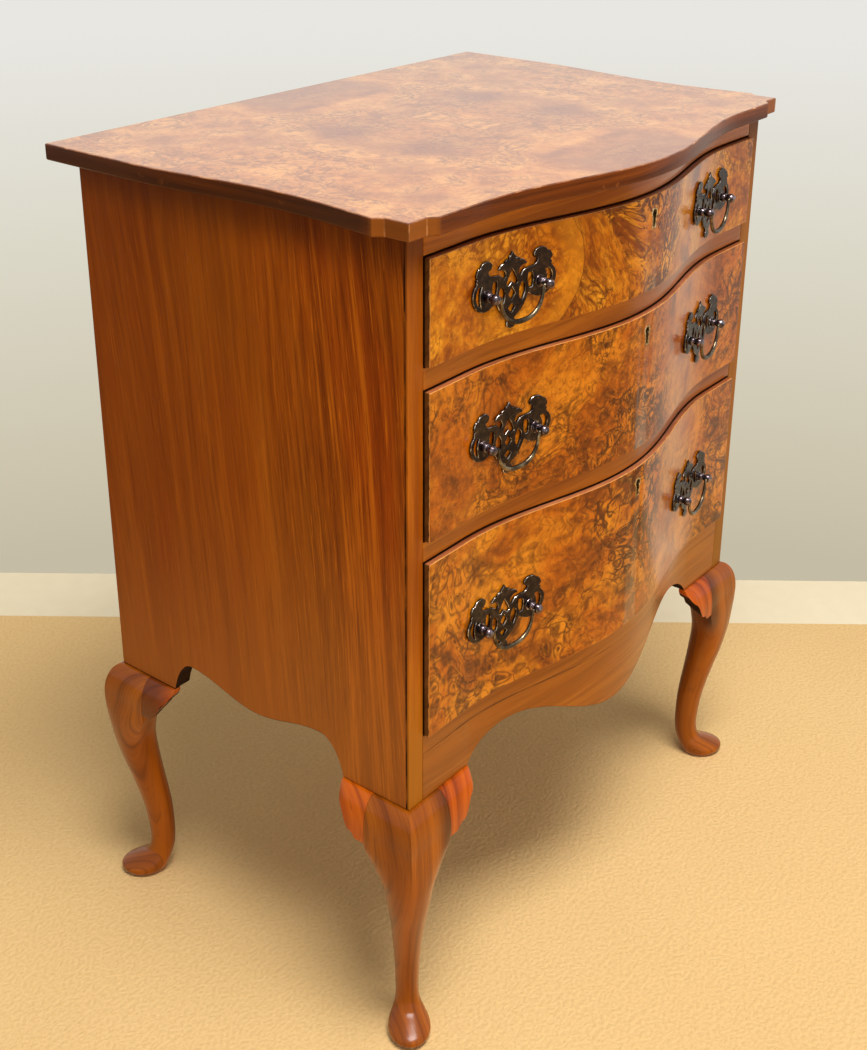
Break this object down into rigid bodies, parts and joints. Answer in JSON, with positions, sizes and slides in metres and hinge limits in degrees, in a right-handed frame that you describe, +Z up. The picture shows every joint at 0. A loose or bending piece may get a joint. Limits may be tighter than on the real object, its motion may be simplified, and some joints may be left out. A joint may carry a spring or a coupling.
{
  "type": "bedside chest of drawers",
  "caption": "Small walnut bedside chest with a serpentine front, locking drawers hung with pierced drop handles, a shaped overhanging top, a scalloped apron and cabriole legs.",
  "frame": {"origin": "on the floor, under the middle of the chest's bounding box", "axes": "+Z up from the floor, -Y out of the drawer fronts, +X to the right of someone who stands before the chest"},
  "size_m": [0.57, 0.42, 0.7462],
  "materials": {
    "burr_walnut": "figured burr walnut veneer, French polished",
    "walnut": "straight-grained walnut, polished",
    "leg_walnut": "solid red-brown walnut, polished",
    "lining_wood": "plain pale wood, unpolished",
    "aged_brass": "dark aged brass, worn bright on the bails",
    "lock_steel": "dull steel"
  },
  "bodies": {
    "carcass": {"top": "burr_walnut", "side_panel_left": "walnut", "side_panel_right": "walnut", "front_stile_left": "walnut", "front_stile_right": "walnut", "back_panel": "lining_wood", "top_rail": "walnut", "upper_rail": "walnut", "lower_rail": "walnut", "bottom_rail": "walnut", "front_apron": "walnut", "upper_dustboard": "lining_wood", "lower_dustboard": "lining_wood", "bottom_board": "lining_wood", "leg_front_left": "leg_walnut", "leg_front_right": "leg_walnut", "leg_rear_left": "leg_walnut", "leg_rear_right": "leg_walnut", "ear_front_left_front": "leg_walnut", "ear_front_left_side": "leg_walnut", "ear_front_right_front": "leg_walnut", "ear_front_right_side": "leg_walnut", "ear_rear_left_side": "leg_walnut", "ear_rear_right_side": "leg_walnut"},
    "upper_drawer": {"upper_drawer_front": "burr_walnut", "upper_drawer_side_left": "lining_wood", "upper_drawer_side_right": "lining_wood", "upper_drawer_back": "lining_wood", "upper_drawer_bottom": "lining_wood", "upper_escutcheon": "aged_brass", "upper_lock_case": "lock_steel", "upper_handle_left": "aged_brass", "upper_handle_right": "aged_brass"},
    "middle_drawer": {"middle_drawer_front": "burr_walnut", "middle_drawer_side_left": "lining_wood", "middle_drawer_side_right": "lining_wood", "middle_drawer_back": "lining_wood", "middle_drawer_bottom": "lining_wood", "middle_escutcheon": "aged_brass", "middle_lock_case": "lock_steel", "middle_handle_left": "aged_brass", "middle_handle_right": "aged_brass"},
    "lower_drawer": {"lower_drawer_front": "burr_walnut", "lower_drawer_side_left": "lining_wood", "lower_drawer_side_right": "lining_wood", "lower_drawer_back": "lining_wood", "lower_drawer_bottom": "lining_wood", "lower_escutcheon": "aged_brass", "lower_lock_case": "lock_steel", "lower_handle_left": "aged_brass", "lower_handle_right": "aged_brass"},
    "upper_bolt": {"upper_lock_bolt": "lock_steel"},
    "middle_bolt": {"middle_lock_bolt": "lock_steel"},
    "lower_bolt": {"lower_lock_bolt": "lock_steel"},
    "upper_left_bail": {"upper_bail_left": "aged_brass"},
    "upper_right_bail": {"upper_bail_right": "aged_brass"},
    "middle_left_bail": {"middle_bail_left": "aged_brass"},
    "middle_right_bail": {"middle_bail_right": "aged_brass"},
    "lower_left_bail": {"lower_bail_left": "aged_brass"},
    "lower_right_bail": {"lower_bail_right": "aged_brass"}
  },
  "joints": [
    {"name": "upper_drawer_slide", "type": "slide", "parent": "carcass", "child": "upper_drawer", "axis": [0, -1, 0], "range_m": [0, 0.25]},
    {"name": "middle_drawer_slide", "type": "slide", "parent": "carcass", "child": "middle_drawer", "axis": [0, -1, 0], "range_m": [0, 0.25]},
    {"name": "lower_drawer_slide", "type": "slide", "parent": "carcass", "child": "lower_drawer", "axis": [0, -1, 0], "range_m": [0, 0.25]},
    {"name": "upper_bolt_throw", "type": "slide", "parent": "upper_drawer", "child": "upper_bolt", "axis": [0, 0, 1], "range_m": [0, 0.006]},
    {"name": "middle_bolt_throw", "type": "slide", "parent": "middle_drawer", "child": "middle_bolt", "axis": [0, 0, 1], "range_m": [0, 0.006]},
    {"name": "lower_bolt_throw", "type": "slide", "parent": "lower_drawer", "child": "lower_bolt", "axis": [0, 0, 1], "range_m": [0, 0.006]},
    {"name": "upper_left_bail_swing", "type": "hinge", "parent": "upper_drawer", "child": "upper_left_bail", "pos_m": [-0.15532, -0.18288, 0.6682], "axis": [-0.9871, 0.1602, 0], "range_deg": [-10, 150]},
    {"name": "upper_right_bail_swing", "type": "hinge", "parent": "upper_drawer", "child": "upper_right_bail", "pos_m": [0.15532, -0.18288, 0.6682], "axis": [-0.9871, -0.1602, 0], "range_deg": [-10, 150]},
    {"name": "middle_left_bail_swing", "type": "hinge", "parent": "middle_drawer", "child": "middle_left_bail", "pos_m": [-0.15532, -0.18288, 0.5447], "axis": [-0.9871, 0.1602, 0], "range_deg": [-10, 150]},
    {"name": "middle_right_bail_swing", "type": "hinge", "parent": "middle_drawer", "child": "middle_right_bail", "pos_m": [0.15532, -0.18288, 0.5447], "axis": [-0.9871, -0.1602, 0], "range_deg": [-10, 150]},
    {"name": "lower_left_bail_swing", "type": "hinge", "parent": "lower_drawer", "child": "lower_left_bail", "pos_m": [-0.15532, -0.18288, 0.38015], "axis": [-0.9871, 0.1602, 0], "range_deg": [-10, 150]},
    {"name": "lower_right_bail_swing", "type": "hinge", "parent": "lower_drawer", "child": "lower_right_bail", "pos_m": [0.15532, -0.18288, 0.38015], "axis": [-0.9871, -0.1602, 0], "range_deg": [-10, 150]}
  ]
}
